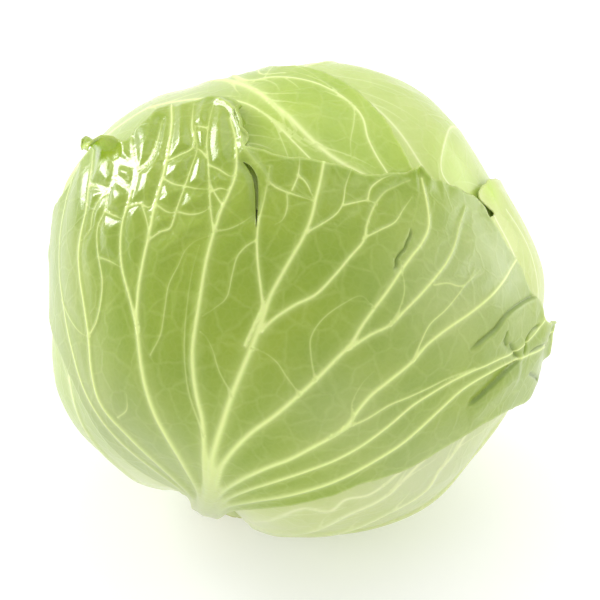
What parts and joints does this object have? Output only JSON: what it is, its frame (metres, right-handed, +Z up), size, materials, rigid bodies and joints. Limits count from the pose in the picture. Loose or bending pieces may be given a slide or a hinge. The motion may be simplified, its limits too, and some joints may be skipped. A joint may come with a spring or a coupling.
{
  "type": "green cabbage",
  "caption": "Head of green cabbage as cut: round, firm heart on a short stump, wrapped in broad waxy leaves with pale fanning ribs and a torn, curled margin, lying on its underside",
  "frame": {"origin": "middle of the small flat spot on the underside that the head rests on", "axes": "+Z up from the surface that it lies on, -Y towards the front leaf's side that the picture shows, +X to the right in that view; the stump points down and to the front left"},
  "size_m": [0.1782, 0.1694, 0.1659],
  "materials": {
    "outer_leaf": "waxy green leaf, semi-gloss",
    "wrapper_leaf": "waxy pale green leaf, semi-gloss",
    "heart": "moist pale leaf, satin",
    "stalk": "cut plant stalk, matt"
  },
  "bodies": {
    "root": {"stalk": "stalk", "heart": "heart", "leaf_front": "outer_leaf", "leaf_left": "wrapper_leaf", "leaf_right": "wrapper_leaf", "leaf_back": "wrapper_leaf"}
  },
  "joints": []
}
